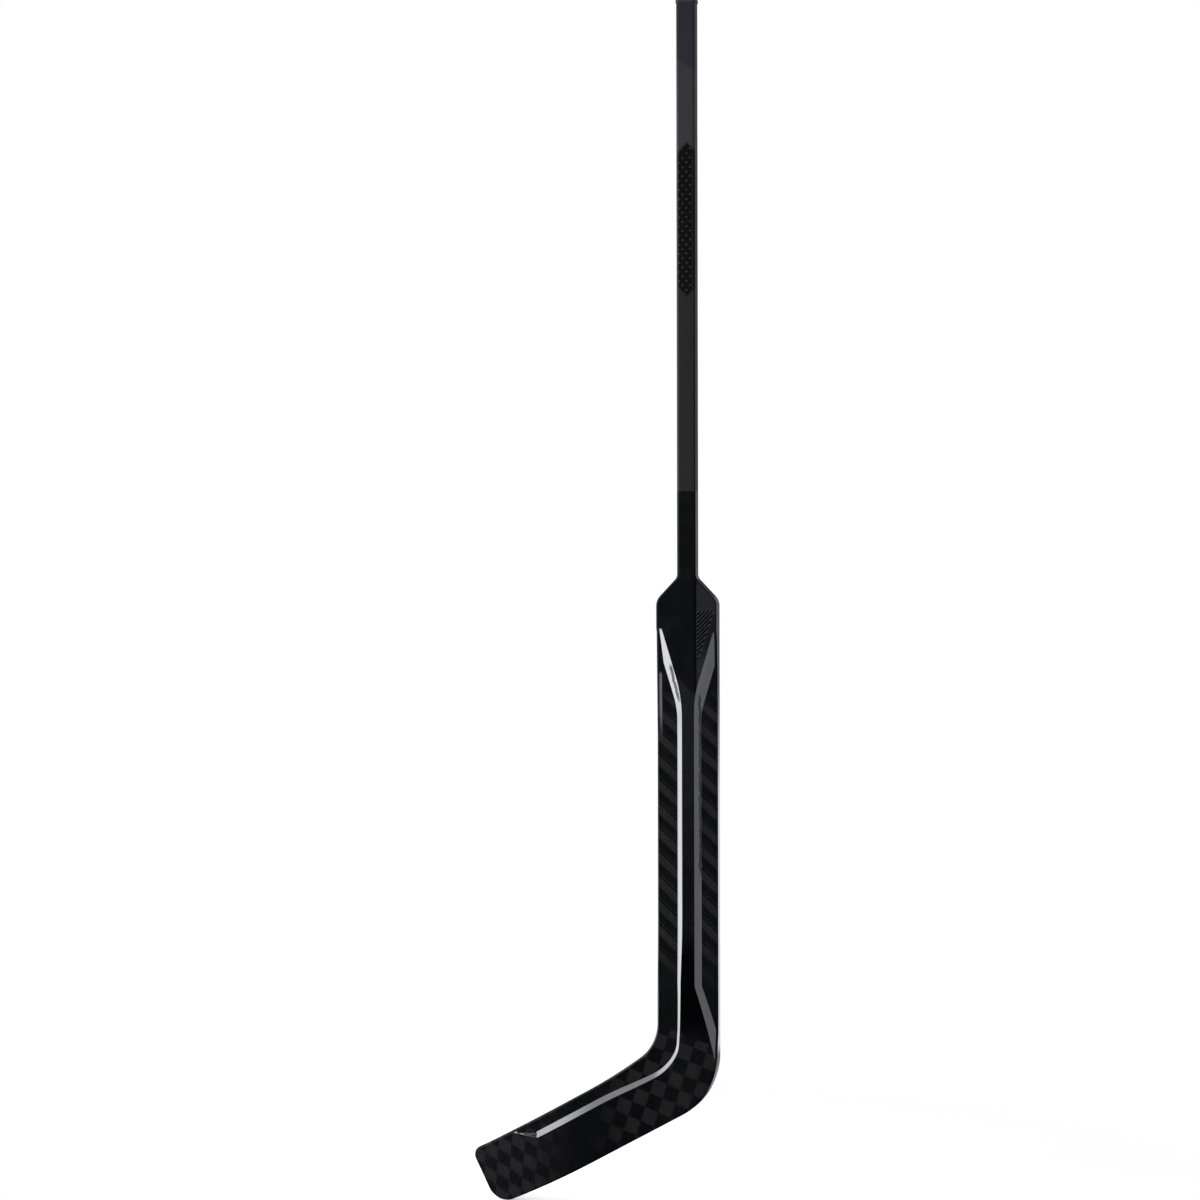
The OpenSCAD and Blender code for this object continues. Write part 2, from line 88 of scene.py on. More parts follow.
# Where the neck, the seam, the bend, the pocket and the toe begin and end on the path
paddleHalf = form["paddleWidth"] / 2
flareTurn = atan((form["paddleWidth"] - form["shaftWidth"]) / 2 / form["flareHeight"])
neckRun = form["neckRadius"] * tan(flareTurn / 2)
shoulderRun = form["shoulderRadius"] * tan(flareTurn / 2)
flareEnd = neckRun + form["flareHeight"]
bendTurn = pi / 2 - form["bladeSlope"]
slopeSin, slopeCos = sin(form["bladeSlope"]), cos(form["bladeSlope"])
arcTurn = bendTurn - form["bendTail"]
tailSlope = tan(form["bendTail"])
arcX, arcZ = form["bendRadius"] * (1 - cos(arcTurn)), form["bendRadius"] * sin(arcTurn)
arcEndB = form["bladeWidth"] + form["tailLength"] * tailSlope / 2
seamIn = form["paddleLength"] - arcZ - (arcEndB - slopeSin * (form["paddleWidth"] + arcX)) / slopeCos
aTop = slopeCos * (form["paddleWidth"] + arcX) - slopeSin * (form["paddleLength"] - seamIn - arcZ)
outRun = form["heelRadius"] * tan(bendTurn / 2)
seamOut = form["paddleLength"] - outRun
seam = (seamIn + seamOut) / 2
seamStretch = hypot(form["paddleWidth"], seamOut - seamIn) / form["paddleWidth"]
levelEnd = seam - form["levelLength"]
bendLength = (form["bendRadius"] + form["heelRadius"]) / 2 * bendTurn
bendEnd = seam + bendLength
pathMid, pathSkew = (aTop + outRun) / 2, (aTop - outRun) / 2
toeStart = bendEnd + form["bladeLength"] - form["toeLowRadius"] - pathMid
toeEnd = toeStart + form["toeLowRadius"]
pocketCorner = bendEnd + form["bladeLength"] - form["pocketGap"] - pathMid
pocketSum = form["pocketWidth"] + form["pocketFacet"]
pocketEnd = pocketCorner + (pocketSum - form["edgeRound"]) / form["hookSlope"]
coreEnd = toeStart + form["toeLowRadius"] / 2
exitTop = seam - form["exitLead"]
thinRun = (seam - form["thinLead"][0], seam - form["thinLead"][1])
thickRun = (seam, bendEnd + form["thickTail"])


def mix(a, b, t):
    return a + (b - a) * t


def along(p, run):
    return (p - run[0]) / (run[1] - run[0])


def clamp(t):
    return max(0.0, min(1.0, t))


def ease(t):
    u = clamp(t)
    return u * u * (3 - 2 * u)


def levelOff(x, level, soft):
    # rounds a rising line off into its level value
    if x < level - soft:
        return x
    if x > level + soft:
        return level
    return x - (x - level + soft) ** 2 / (4 * soft)


def halfWidth(p):
    shaftHalf, neckR, shoulderR = form["shaftWidth"] / 2, form["neckRadius"], form["shoulderRadius"]
    if p < 0:
        return shaftHalf
    if p < neckRun * (1 + cos(flareTurn)):
        return shaftHalf + neckR - sqrt(neckR ** 2 - p ** 2)
    if p < flareEnd - shoulderRun * cos(flareTurn):
        return shaftHalf + (p - neckRun) * tan(flareTurn)
    if p < flareEnd + shoulderRun:
        return paddleHalf - shoulderR + sqrt(shoulderR ** 2 - (flareEnd + shoulderRun - p) ** 2)
    return paddleHalf


def rocker(a):
    return max(0.0, a - form["bladeLength"] + form["rockerLength"]) ** 2 / (2 * form["rockerRadius"])


def onBlade(a, b):
    # a runs from the heel point to the toe, b from the bottom edge to the top edge
    return paddleHalf - a * slopeCos - b * slopeSin, -form["paddleLength"] - a * slopeSin + b * slopeCos


def toeAngle(p):
    return pi / 2 * (p - toeStart) / form["toeLowRadius"]


def edgeIn(p):
    if p < levelEnd:
        return -halfWidth(p), -p
    if p < seam:
        return -paddleHalf, -mix(levelEnd, seamIn, (p - levelEnd) / form["levelLength"])
    if p < bendEnd:
        f, r = arcTurn * (p - seam) / bendLength, form["bendRadius"]
        return -paddleHalf - r + r * cos(f), -seamIn - r * sin(f)
    if p < toeStart:
        a = pathMid + p - bendEnd + pathSkew * (1 - ease((p - bendEnd) / form["skewLength"]))
        tail = max(0.0, aTop + form["tailLength"] - a) ** 2 * tailSlope / (2 * form["tailLength"])
        return onBlade(a, form["bladeWidth"] + tail + form["topRise"] * rocker(a))
    f, r, a = toeAngle(p), form["toeTopRadius"], form["bladeLength"] - form["toeRake"]
    top = form["bladeWidth"] + form["topRise"] * rocker(a)
    return onBlade(a - r * (1 - sin(f)), top - r * (1 - cos(f)))


def edgeOut(p):
    if p < levelEnd:
        return halfWidth(p), -p
    if p < seam:
        return paddleHalf, -mix(levelEnd, seamOut, (p - levelEnd) / form["levelLength"])
    if p < bendEnd:
        f, r = bendTurn * (p - seam) / bendLength, form["heelRadius"]
        return paddleHalf - r + r * cos(f), -seamOut - r * sin(f)
    if p < toeStart:
        a = pathMid + p - bendEnd - pathSkew * (1 - ease((p - bendEnd) / form["skewLength"]))
        return onBlade(a, rocker(a))
    f, r = toeAngle(p), form["toeLowRadius"]
    a = form["bladeLength"] - r * (1 - sin(f))
    return onBlade(a, rocker(a) + r * (1 - cos(f)))


def spanAt(p):
    (x0, z0), (x1, z1) = edgeIn(p), edgeOut(p)
    return hypot(x1 - x0, z1 - z0)


def curveAt(x, z):
    a = -(x - paddleHalf) * slopeCos - (z + form["paddleLength"]) * slopeSin
    bent = max(0.0, a - form["bladeLength"] + form["curveLength"]) / form["curveLength"]
    return form["curveDepth"] * bent ** 2


def place(p, column):
    # point at a distance from the inner edge and a depth, in metres
    (x0, z0), (x1, z1) = edgeIn(p), edgeOut(p)
    t = column[0] / hypot(x1 - x0, z1 - z0)
    x, z = mix(x0, x1, t), mix(z0, z1, t)
    return Vector((x, column[1] + curveAt(x, z), z)) * mm


def depthOf(p):
    return mix(form["shaftDepth"], form["toeDepth"], max(0.0, p - seam) / (toeEnd - seam))


def toeInset(p):
    # the toe's faces round off towards its outline
    r = q = form["toeRound"]
    if p >= toeStart:
        q = (form["toeLowRadius"] + form["toeTopRadius"]) / 2 * (1 - sin(toeAngle(p)))
    return 0.0 if q >= r else r - sqrt(r ** 2 - (r - q) ** 2)


def spineY(p):
    return -depthOf(p) / 2 + toeInset(p)


def partY(p):
    return form["parting"] * depthOf(p) / form["shaftDepth"]


def roundAt(p):
    return mix(form["shaftRound"], form["edgeRound"], ease(p / flareEnd)) - toeInset(p)


def ramp(p, tip):
    return clamp((p - tip) / form["rampLength"])


def scoop(p, tip):
    return form["scoopShare"] * ease((p - tip) / form["scoopLength"])


def sinkIn(p):
    return mix(scoop(p, form["tipIn"]), 1, ramp(p, form["tipIn"]))


def sinkOut(p):
    return mix(scoop(p, form["tipOut"]), 1, 1 - (1 - ramp(p, form["tipOut"])) ** 2)


def depthIn(p):
    # the facet keeps its slant where it narrows, so the flank rises there
    if p < seam:
        return form["flankDepth"] * sinkIn(p) * facetWidth(p) / form["facetIn"]
    if p < pocketCorner:
        slants = form["flankDepth"] / form["facetIn"], form["pocketDepth"] / form["pocketFacet"]
        return facetWidth(p) * mix(*slants, along(p, (seam, pocketCorner)))
    return form["pocketDepth"] * clamp(form["pocketRunOut"] * (pocketEnd - p) / (pocketEnd - pocketCorner))


def depthOut(p):
    exitShare = max(0.0, (browOut(p) - form["edgeRound"]) / form["exitWidth"])
    return form["flankDepth"] * min(sinkOut(p), exitShare)


def stretch(p):
    return mix(1.0, seamStretch, clamp((p - levelEnd) / form["levelLength"]))


def vee(p, tip, shape, level):
    top = tip + shape[0]
    return levelOff(form["veeSlope"] * (p - top), level, level / shape[1])


def hook(p):
    return pocketSum - form["hookSlope"] * (p - pocketCorner)


def footIn(p):
    swell, hold = form["bendSwell"] * ease((p - seam) / form["swellLength"]), form["footHold"]
    if p < seam + hold:
        atTip = form["footTip"] + form["footSlope"] * min(p - form["tipIn"], form["rampLength"] / 2)
        return swell + max(atTip, stretch(p) * vee(p, form["tipIn"], form["footInVee"], form["flankIn"]))
    if p < pocketCorner:
        t = ease((p - seam - hold) / (bendLength + form["footTail"]))
        return mix(form["flankIn"] * seamStretch + swell, form["pocketWidth"], t)
    return hook(p) - form["hookFacet"]


def facetWidth(p):
    if p < seam:
        return mix(form["facetIn"], form["facetBend"], ease(along(p, thinRun)))
    return mix(form["facetBend"], form["pocketFacet"], ease(along(p, thickRun)))


def browIn(p):
    if p < thinRun[0]:
        return vee(p, form["tipIn"], form["browInVee"], form["flankIn"] + form["facetIn"])
    return footIn(p) + facetWidth(p) if p < pocketCorner else hook(p)


def leave(p, level, slope):
    # the outer facet runs out over the edge above the heel
    return level - slope * max(0.0, p - exitTop) * seamStretch


def footOut(p):
    level = form["flankOut"]
    return min(vee(p, form["tipOut"], form["footOutVee"], level), leave(p, level, form["exitSlopes"][0]))


def browOut(p):
    level = form["flankOut"] + form["facetOut"]
    return min(vee(p, form["tipOut"], form["browOutVee"], level), leave(p, level, form["exitSlopes"][1]))


# How many points draw each stretch of a section, and its smallest measures in millimetres.
# The lips are the points between the seam and the rounded rim.
grid = {
    "roundSteps": 6, "filletSteps": 4, "flankRun": 5, "facetRun": 2, "spineRun": 16,
    "frontLip": 3, "backLip": 2, "barSteps": 8,
    "leastRound": 0.4, "leastFoot": 0.2, "leastFacet": 0.4, "leastReach": 0.08, "reachShare": 0.45,
    "seamLip": 0.35, "seamNotch": 0.12,
}
quarter = [pi / 2 * i / grid["roundSteps"] for i in range(grid["roundSteps"] + 1)]


def filletRow(before, corner, after, radius):
    # a rounded corner as a row of points, with the same count at every station
    c, steps = Vector(corner), grid["filletSteps"]
    u, v = Vector(before) - c, Vector(after) - c
    bend = max(-1.0, min(1.0, u.normalized().dot(v.normalized())))
    reach = radius / max(tan(acos(bend) / 2), 1e-3)
    share = grid["reachShare"]
    reach = max(grid["leastReach"], min(reach, share * u.length, share * v.length, radius))
    a, b = c + u.normalized() * reach, c + v.normalized() * reach
    places = [i / steps for i in range(steps + 1)]
    return [tuple(a * (1 - t) ** 2 + c * 2 * t * (1 - t) + b * t * t) for t in places]


def runRow(a, b, count):
    return [(mix(a[0], b[0], i / (count + 1)), mix(a[1], b[1], i / (count + 1))) for i in range(1, count + 1)]


def frontRow(p, t):
    # the sculpted side's section, set in by t
    w, r = spanAt(p), max(roundAt(p), t + grid["leastRound"])
    lowIn, lowOut, spine = spineY(p) + depthIn(p) + t, spineY(p) + depthOut(p) + t, spineY(p) + t
    footA = max(footIn(p), r + grid["leastFoot"])
    browA = max(browIn(p), footA + grid["leastFacet"])
    footB = max(footOut(p), r + grid["leastFoot"])
    browB = max(browOut(p), footB + grid["leastFacet"])
    bow = r - t
    rise = [(r - bow * cos(g), lowIn + bow - bow * sin(g)) for g in quarter]
    fall = [(w - r + bow * cos(g), lowOut + bow - bow * sin(g)) for g in reversed(quarter)]
    corners = [rise[-1], (footA, lowIn), (browA, spine), (w - browB, spine), (w - footB, lowOut), fall[0]]
    radii = [form["footFillet"], form["browFillet"], form["browFillet"], form["footFillet"]]
    bends = [rise, *[filletRow(*corners[i:i + 3], radii[i]) for i in range(4)], fall]
    runs = [grid["flankRun"], grid["facetRun"], grid["spineRun"], grid["facetRun"], grid["flankRun"]]
    notch = grid["seamNotch"] if t == 0 else 0.0
    seamLow = partY(p) - grid["seamLip"]
    row = [(t + notch, partY(p)), (t, seamLow), (t, mix(seamLow, lowIn + bow, 0.5))]
    for i, count in enumerate(runs):
        row += bends[i] + runRow(bends[i][-1], bends[i + 1][0], count)
    row += fall
    row += [(w - t, mix(seamLow, lowOut + bow, 0.5)), (w - t, seamLow), (w - t - notch, partY(p))]
    return row


def backRow(p, t):
    # the flat side's section, set in by t
    w, r, y = spanAt(p), max(roundAt(p), t + grid["leastRound"]), depthOf(p) / 2 - toeInset(p) - t
    bow = r - t
    rise = [(r - bow * cos(g), y - bow + bow * sin(g)) for g in quarter]
    fall = [(w - r + bow * cos(g), y - bow + bow * sin(g)) for g in reversed(quarter)]
    notch = grid["seamNotch"] if t == 0 else 0.0
    row = [(t + notch, partY(p)), (t, partY(p) + grid["seamLip"])] + rise
    row += runRow(rise[-1], fall[0], grid["spineRun"]) + fall
    row += [(w - t, partY(p) + grid["seamLip"]), (w - t - notch, partY(p))]
    return row


def stationRow(start, end, stops):
    # path lengths between two ends, each stop giving a place and the longest step that leads up to it
    row, here = [start], start
    for stop, longest in stops:
        stop = min(stop, end)
        count = max(1, ceil((stop - here) / longest))
        row += [mix(here, stop, i / count) for i in range(1, count + 1)] if stop > here + 1e-6 else []
        here = max(here, stop)
    return row


smoothing = {"sharp": radians(50), "weight": 60}


def newObject(name, data):
    made = bpy.data.objects.new(name, data)
    bpy.context.scene.collection.objects.link(made)
    return made


def makePiece(name, points, faces, material, slotName):
    mesh = bpy.data.meshes.new(name)
    mesh.from_pydata([tuple(v) for v in points], [], faces)
    mesh.validate()
    mesh.update()
    for polygon in mesh.polygons:
        polygon.use_smooth = True
    mesh.set_sharp_from_angle(angle=smoothing["sharp"])
    mesh.materials.append(material)
    piece = newObject(name, mesh)
    flow = piece.modifiers.new("flow", "WEIGHTED_NORMAL")
    flow.keep_sharp, flow.weight = True, smoothing["weight"]
    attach(piece, "root")
    return piece


def shellMesh(outer, inner):
    # closed shell between an outer and an inner sheet of points with the same rows and columns
    rows, cols = len(outer), len(outer[0])
    points = [v for sheet in (outer, inner) for row in sheet for v in row]
    size = rows * cols

    def at(sheet, i, j):
        return sheet * size + i * cols + j

    faces = []
    for i in range(rows - 1):
        for j in range(cols - 1):
            faces.append((at(0, i, j), at(0, i, j + 1), at(0, i + 1, j + 1), at(0, i + 1, j)))
            faces.append((at(1, i, j + 1), at(1, i, j), at(1, i + 1, j), at(1, i + 1, j + 1)))
        faces.append((at(1, i, 0), at(0, i, 0), at(0, i + 1, 0), at(1, i + 1, 0)))
        faces.append((at(0, i, cols - 1), at(1, i, cols - 1), at(1, i + 1, cols - 1), at(0, i + 1, cols - 1)))
    for j in range(cols - 1):
        faces.append((at(1, 0, j), at(1, 0, j + 1), at(0, 0, j + 1), at(0, 0, j)))
        faces.append((at(0, rows - 1, j), at(0, rows - 1, j + 1), at(1, rows - 1, j + 1), at(1, rows - 1, j)))
    return points, faces


def solidToe(p, row):
    # past the foam the skins are solid as far as the parting line
    if p <= coreEnd:
        return row
    return [(mix(row[0][0], row[-1][0], i / (len(row) - 1)), partY(p)) for i in range(len(row))]


def markRims(piece, cols, reach):
    # tells the material which columns of points lie on the rounded rims
    for name in ("innerRim", "outerRim"):
        rim = piece.data.attributes.new(name, "FLOAT", "POINT")
        for k, spot in enumerate(rim.data):
            j = k % cols if name == "innerRim" else cols - 1 - k % cols
            spot.value = 1.0 if j <= reach else 0.0


def shellPiece(name, path, section, material):
    outer = [[place(p, c) for c in section(p, 0.0)] for p in path]
    inner = [[place(p, c) for c in solidToe(p, section(p, form["skin"]))] for p in path]
    points, faces = shellMesh(outer, inner)
    lip = grid["backLip"]
    if section is frontRow:
        faces, lip = [tuple(reversed(face)) for face in faces], grid["frontLip"]
    piece = makePiece(name, points, faces, material, "carbon_gloss")
    markRims(piece, len(outer[0]), lip + grid["roundSteps"])
    return piece


# Small helpers for shader nodes. A value is a number, a colour or another node's socket,
# and a new node joins the tree of the sockets that it is given.

def setInput(socket, value):
    if isinstance(value, bpy.types.NodeSocket):
        socket.id_data.links.new(value, socket)
    else:
        socket.default_value = (*value, 1) if socket.type == "RGBA" else value


def setInputs(node, **sockets):
    for name, value in sockets.items():
        setInput(node.inputs[name.replace("_", " ")], value)


def newMaterial(name, color, roughness, **sockets):
    material = bpy.data.materials.new(name)
    material.use_nodes = True
    shader = material.node_tree.nodes["Principled BSDF"]
    setInputs(shader, Base_Color=color, Roughness=roughness, **sockets)
    return material, material.node_tree, shader


def newNode(kind, inputs, **settings):
    tree = next(value.id_data for value in inputs.values() if isinstance(value, bpy.types.NodeSocket))
    node = tree.nodes.new("ShaderNode" + kind)
    for name, value in settings.items():
        setattr(node, name, value)
    for socket, value in inputs.items():
        setInput(node.inputs[socket], value)
    return node


def calc(operation, a, b=0.0):
    return newNode("Math", {0: a, 1: b}, operation=operation).outputs[0]


def plus(a, b):
    return calc("ADD", a, b)


def minus(a, b):
    return calc("SUBTRACT", a, b)


def over(a, b):
    return calc("DIVIDE", a, b)


def times(first, *others):
    for other in others:
        first = calc("MULTIPLY", first, other)
    return first


def step(value, low, high):
    # 0 at low, 1 at high, smooth between; low may be the greater one
    inputs = {"Value": value, "From Min": low, "From Max": high}
    return newNode("MapRange", inputs, interpolation_type="SMOOTHSTEP").outputs["Result"]


def edge(value, at, soft):
    # a step of a little softness on each side of one place; a negative softness turns it round
    return step(value, at - soft, at + soft)


def band(value, rise, fall):
    # 1 between two steps, 0 outside
    return times(step(value, *rise), step(value, *fall))


def blendColor(factor, a, b):
    return newNode("Mix", {0: factor, 6: a, 7: b}, data_type="RGBA").outputs[2]


def mixValue(factor, a, b):
    return newNode("Mix", {0: factor, 2: a, 3: b}).outputs[0]


def partsOf(vector):
    return tuple(newNode("SeparateXYZ", {0: vector}).outputs)


def objectPlace(tree):
    place = tree.nodes.new("ShaderNodeTexCoord").outputs["Object"]
    return place, *partsOf(place)


def facing(tree):
    return partsOf(tree.nodes.new("ShaderNodeNewGeometry").outputs["Normal"])


def scaled(vector, scale, turn=(0, 0, 0)):
    return newNode("Mapping", {"Vector": vector, "Scale": scale, "Rotation": turn}).outputs[0]


def noise(vector, scale, detail, rough=0.5):
    inputs = {"Vector": vector, "Scale": scale, "Detail": detail, "Roughness": rough}
    return newNode("TexNoise", inputs).outputs[0]


def bump(height, distance, strength, *under):
    inputs = {"Height": height, "Distance": distance, "Strength": strength}
    inputs.update({"Normal": normal for normal in under})
    return newNode("Bump", inputs).outputs[0]


def grainMaterial(name, look):
    # plain stuff with a fine grain in its colour and surface
    material, tree, shader = newMaterial(name, look["color"], look["roughness"])
    grain = noise(objectPlace(tree)[0], look["grain"], look["detail"])
    color = blendColor(grain, look["dark"], look["light"])
    setInputs(shader, Base_Color=color, Normal=bump(grain, *look["bump"]))
    setInputs(shader, Specular_IOR_Level=look["specular"])
    return material


# The outer cloth: how far its two sets of tows are turned, the size of a square along each,
# and where a square starts. The squares show round the heel and at the toe.
cloths = {
    "heel": {"turns": (radians(18.4), radians(17.8)), "squares": (0.01985, 0.0212), "start": (1.010, 0.501)},
    "toe": {"turns": (radians(6.2), radians(26.0)), "squares": (0.0209, 0.0175), "start": (0.443, 1.709)},
}
weave = {
    "light": (0.0098, 0.0088, 0.0083), "dark": (0.0016, 0.0021, 0.0031),
    "toeLight": (0.0108, 0.0100, 0.0108), "toeDark": (0.0030, 0.0030, 0.0036),
    "toeStart": (-0.160, -0.165), "toeShown": (-0.165, -0.250),
    "heelShown": (-0.150, -0.075), "heelTop": -0.645, "heelSlant": 0.3,
    "towScale": 50, "towStretch": (1.2, 1, 60), "towStep": (0.25, 0.8), "towDark": 0.82,
}


def clothSquare(cloth, x, z):
    down, across = cloth["turns"]
    u = minus(times(x, cos(down)), times(z, sin(down)))
    v = plus(times(x, sin(across)), times(z, cos(across)))
    u, v = [plus(over(w, cloth["squares"][i]), cloth["start"][i]) for i, w in enumerate((u, v))]
    cell = plus(calc("FLOOR", u), calc("FLOOR", v))
    return calc("ABSOLUTE", calc("MODULO", cell, 2.0))


def weaveColors(place, x, z):
    atToe = step(x, *weave["toeStart"])
    odd = mixValue(atToe, clothSquare(cloths["heel"], x, z), clothSquare(cloths["toe"], x, z))
    turned = scaled(place, (weave["towScale"],) * 3, (0, -cloths["heel"]["turns"][0], 0))
    rowTows = noise(scaled(turned, weave["towStretch"]), 1.0, 2)
    colTows = noise(scaled(turned, weave["towStretch"][::-1]), 1.0, 2)
    tows = mixValue(odd, rowTows, colTows)
    light = blendColor(atToe, weave["light"], weave["toeLight"])
    dark = blendColor(atToe, weave["dark"], weave["toeDark"])
    lit = times(odd, mixValue(step(tows, *weave["towStep"]), weave["towDark"], 1.0))
    slanted = plus(z, times(x, weave["heelSlant"]))
    heel = times(step(x, *weave["heelShown"]), calc("LESS_THAN", slanted, weave["heelTop"]))
    shown = calc("MAXIMUM", heel, step(x, *weave["toeShown"]))
    return blendColor(lit, dark, light), tows, shown


# Paint on the front of the paddle's spine. Places are in metres here and in the settings below.
# A pair is a step, from where a mask is 0 to where it is 1, and two pairs are a band.
ridge = {
    "level": -0.0088, "edge": 0.0004, "start": (0.004, -0.004),
    "left": (0.0014, 0.0021, 0.0029), "right": (0.0112, 0.0120, 0.0146),
    "crease": (0.0108, 0.0157), "creaseFade": 0.0006, "creaseColor": (0.0004, 0.0005, 0.0008),
    "slant": 0.338,
    "hatch": ((-0.1205, -0.1200), (-0.0515, -0.0520)), "hatchEnd": (0.0590, 0.0585),
    "hatchLight": (0.021, 0.023, 0.028),
    "wedge": ((-0.052, -0.056), (-0.130, -0.095)), "wedgeEnd": (0.0592, 0.0605), "wedgeShade": 0.65,
    "shieldTip": -0.1666, "shieldSlope": 0.945, "shieldEdge": 0.0006,
    "below": (0.0062, 0.0066, 0.0078), "fade": (-0.44, -0.20),
    "deep": ((-0.500, -0.540), (-0.668, -0.610)), "deepEdge": (0.0004, 0.0002),
    "deepColor": (0.0004, 0.0004, 0.0006),
}


def deepSpine(y, z):
    # the spine darkens toward the heel
    near, far = ridge["deepEdge"]
    level = step(y, ridge["level"] + near, ridge["level"] + far)
    return times(level, band(z, *ridge["deep"]))


def spineColors(color, x, y, z):
    # a dark crease, a paler half to the right of it with a hatched field and a darker wedge beyond,
    # and a shield's edge across the spine below
    soft, (left, right) = ridge["edge"], ridge["crease"]
    half = blendColor(edge(x, right, soft), ridge["left"], ridge["right"])
    slanted = minus(x, times(z, ridge["slant"]))
    wedge = times(band(z, *ridge["wedge"]), step(slanted, *ridge["wedgeEnd"]))
    half = blendColor(times(wedge, ridge["wedgeShade"]), half, ridge["left"])
    hatched = times(band(z, *ridge["hatch"]), step(slanted, *ridge["hatchEnd"]))
    half = blendColor(times(hatched, step(x, right, right + soft)), half, ridge["hatchLight"])
    crease = band(x, (left - soft, left + ridge["creaseFade"]), (right + soft, right - soft))
    half = blendColor(crease, half, ridge["creaseColor"])
    beside = calc("MINIMUM", minus(x, left), 0.0)
    shield = plus(z, times(beside, ridge["shieldSlope"]))
    below = edge(shield, ridge["shieldTip"], -ridge["shieldEdge"])
    spine = blendColor(step(z, *ridge["fade"]), gloss["lacquer"], ridge["below"])
    spine = blendColor(deepSpine(y, z), spine, ridge["deepColor"])
    front = times(edge(y, ridge["level"], -soft), step(z, *ridge["start"]))
    return blendColor(front, color, blendColor(below, half, spine))


# Paint on the paddle's flanks: plain slanted stripes, all leaning one way, and a grey painted highlight
# along the left edge beside the scoop, a pale band that stands in for a reflection of the left lamp
flank = {
    "stripe": (0.0098, 0.0093, 0.0098), "pitch": 0.034, "lean": 0.9,
    "broadBar": ((0.0, 0.02), (0.44, 0.40)), "thinBar": ((0.52, 0.54), (0.62, 0.60)), "thinShare": 0.5,
    "zone": ((-0.155, -0.19), (-0.60, -0.50)), "sunk": ((-0.0075, -0.006), (0.001, -0.001)),
    "paintedHighlight": ((-0.136, -0.142), (-0.240, -0.180)), "paintedHighlightMiddle": -0.0380, "paintedHighlightWidth": (0.0025, 0.0012),
    "paintedHighlightColor": (0.090, 0.085, 0.108),
}


def flankColors(color, x, y, z):
    slant = plus(times(x, flank["lean"]), z)
    wave = calc("FRACT", over(slant, flank["pitch"]))
    thin = times(band(wave, *flank["thinBar"]), flank["thinShare"])
    bars = calc("MAXIMUM", band(wave, *flank["broadBar"]), thin)
    shown = times(bars, band(z, *flank["zone"]), band(y, *flank["sunk"]))
    color = blendColor(shown, color, flank["stripe"])
    # painted highlight: a pale grey band along the left edge, standing in for the left lamp's reflection on
    # the rounded edge
    off = calc("ABSOLUTE", minus(x, flank["paintedHighlightMiddle"]))
    paintedHighlight = times(step(off, *flank["paintedHighlightWidth"]), calc("LESS_THAN", y, 0.0))
    paintedHighlight = times(paintedHighlight, band(z, *flank["paintedHighlight"]))
    return blendColor(paintedHighlight, color, flank["paintedHighlightColor"])


# Wavering, ragged lines down the upper facets where the gloss is thinner
streaks = {
    "wobbleScale": (1, 1, 90), "wobble": 0.005,
    "raggedScale": (260, 260, 420), "ragged": 0.003,
    "width": (0.0015, 0.0007), "lowEnd": 0.006, "highEnd": 0.004,
    "right": {"start": 0.0193, "slope": 0.0, "low": -0.42, "high": -0.17, "strength": 0.85, "wide": 1.4},
    "left": {"start": -0.0546, "slope": -0.248, "low": -0.178, "high": -0.128, "strength": 1.0, "wide": 2.0},
}


def streakMask(place, x, y, z, line):
    wobble = noise(scaled(place, streaks["wobbleScale"]), 1.0, 3)
    wander = times(minus(wobble, 0.5), streaks["wobble"])
    middle = plus(plus(times(z, line["slope"]), line["start"]), wander)
    off = calc("ABSOLUTE", minus(x, middle))
    ragged = minus(noise(scaled(place, streaks["raggedScale"]), 1.0, 2), 0.5)
    off = plus(off, times(ragged, streaks["ragged"] * (line["wide"] - 1)))
    mask = step(off, *[width * line["wide"] for width in streaks["width"]])
    mask = times(mask, calc("LESS_THAN", y, 0.0))
    ends = edge(z, line["low"], streaks["lowEnd"]), edge(z, line["high"], -streaks["highEnd"])
    return times(mask, times(*ends), line["strength"])


# Gloss lacquer over carbon, with fine fibres in it, soft waves and a haze
gloss = {
    "lacquer": (0.0016, 0.0018, 0.0023), "roughness": 0.13, "coatRough": 0.02, "ior": 1.5, "specular": 0.5,
    "fibreScale": (900, 900, 14), "fibreStep": (0.35, 0.75), "fibreLight": 1.5, "fibreBump": (0.00005, 0.25),
    "waveScale": (60, 60, 14), "waveBump": (0.0006, 0.12),
    "hazeScale": 45, "hazeStep": (0.35, 0.8), "hazeRoughness": 1.7,
}

# Where the gloss is rubbed thin: on the rims, less so in the bend, and on the facet through the bend.
# Forward is how squarely a face looks to the front or the back, from 0 to 1.
wear = {
    "rimGloss": (0.06, 0.32), "keptLow": (-0.560, -0.600), "keptRight": (-0.17, -0.09),
    "outerForward": (0.12, 0.35), "outerLow": (-0.650, -0.672),
    "bend": ((-0.200, -0.130), (-0.036, -0.052)), "bendTop": -0.62, "bendWear": 0.72, "wornGloss": 0.2,
    "bright": ((-0.205, -0.165), (-0.070, -0.085)), "brightForward": (0.993, 0.982), "brightIor": 1.85,
    "deepForward": (0.975, 0.992), "deepGloss": 0.16,
}


def rimMark(tree, name):
    mark = tree.nodes.new("ShaderNodeAttribute")
    mark.attribute_name = name
    return mark.outputs["Fac"]


